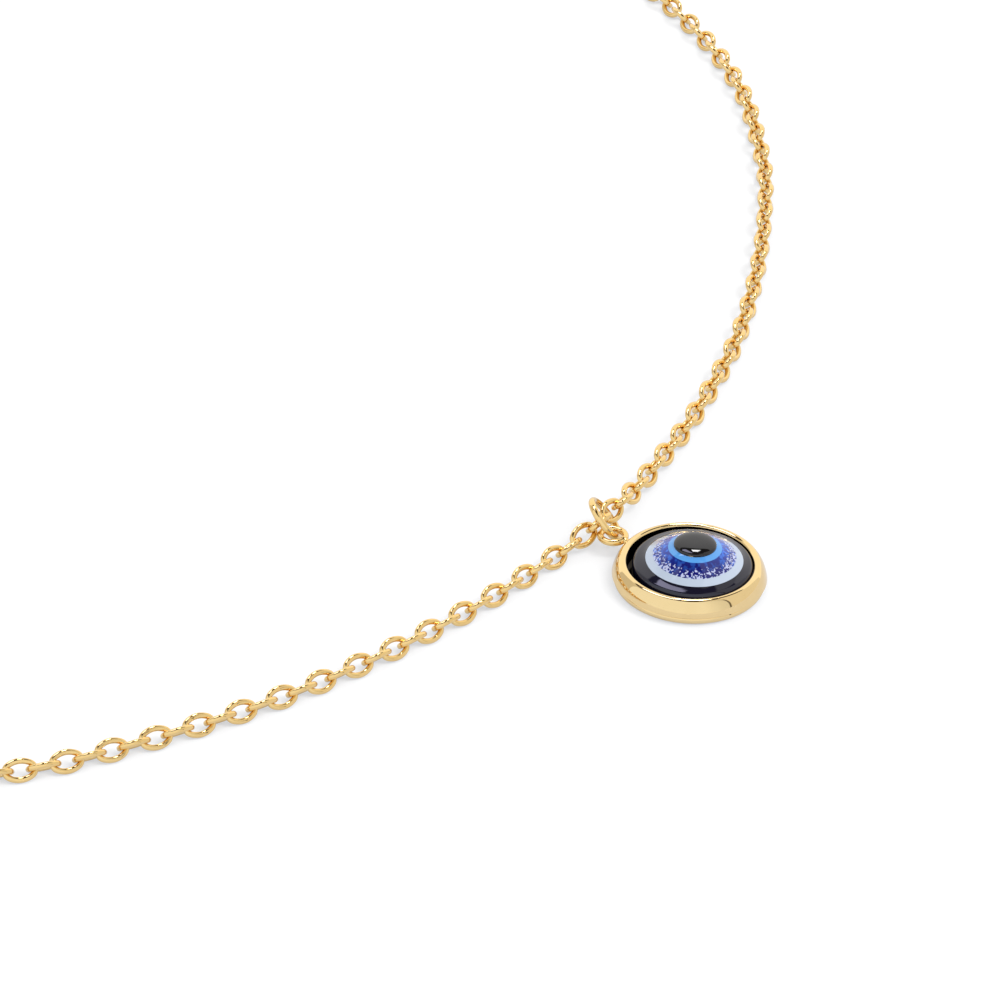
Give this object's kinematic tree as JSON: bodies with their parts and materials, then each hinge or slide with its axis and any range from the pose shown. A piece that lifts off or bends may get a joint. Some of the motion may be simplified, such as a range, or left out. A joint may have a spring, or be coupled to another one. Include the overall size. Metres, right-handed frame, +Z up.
{
  "type": "evil eye pendant necklace",
  "caption": "Fine cable chain necklace with a round gold bezel pendant that holds a domed glass evil eye, lying flat in an open loop.",
  "frame": {"origin": "middle of the pendant's flat back, on the surface the necklace lies on", "axes": "+Z up, away from the surface; +Y along the necklace's long side, from the pendant towards the far end of the loop; +X to the right of the pendant"},
  "size_m": [0.1119, 0.1487, 0.0044],
  "materials": {
    "gold": "polished",
    "navy_glass": "polished",
    "white_glass": "polished",
    "blue_glass": "polished",
    "light_blue_glass": "polished",
    "black_glass": "polished"
  },
  "bodies": {
    "root": {"bezel": "gold", "eye_base": "navy_glass", "eye_white": "white_glass", "eye_iris": "blue_glass", "eye_light_ring": "light_blue_glass", "eye_pupil": "black_glass", "jump_ring": "gold", "chain": "gold", "clasp": "gold", "end_ring": "gold"}
  },
  "joints": []
}
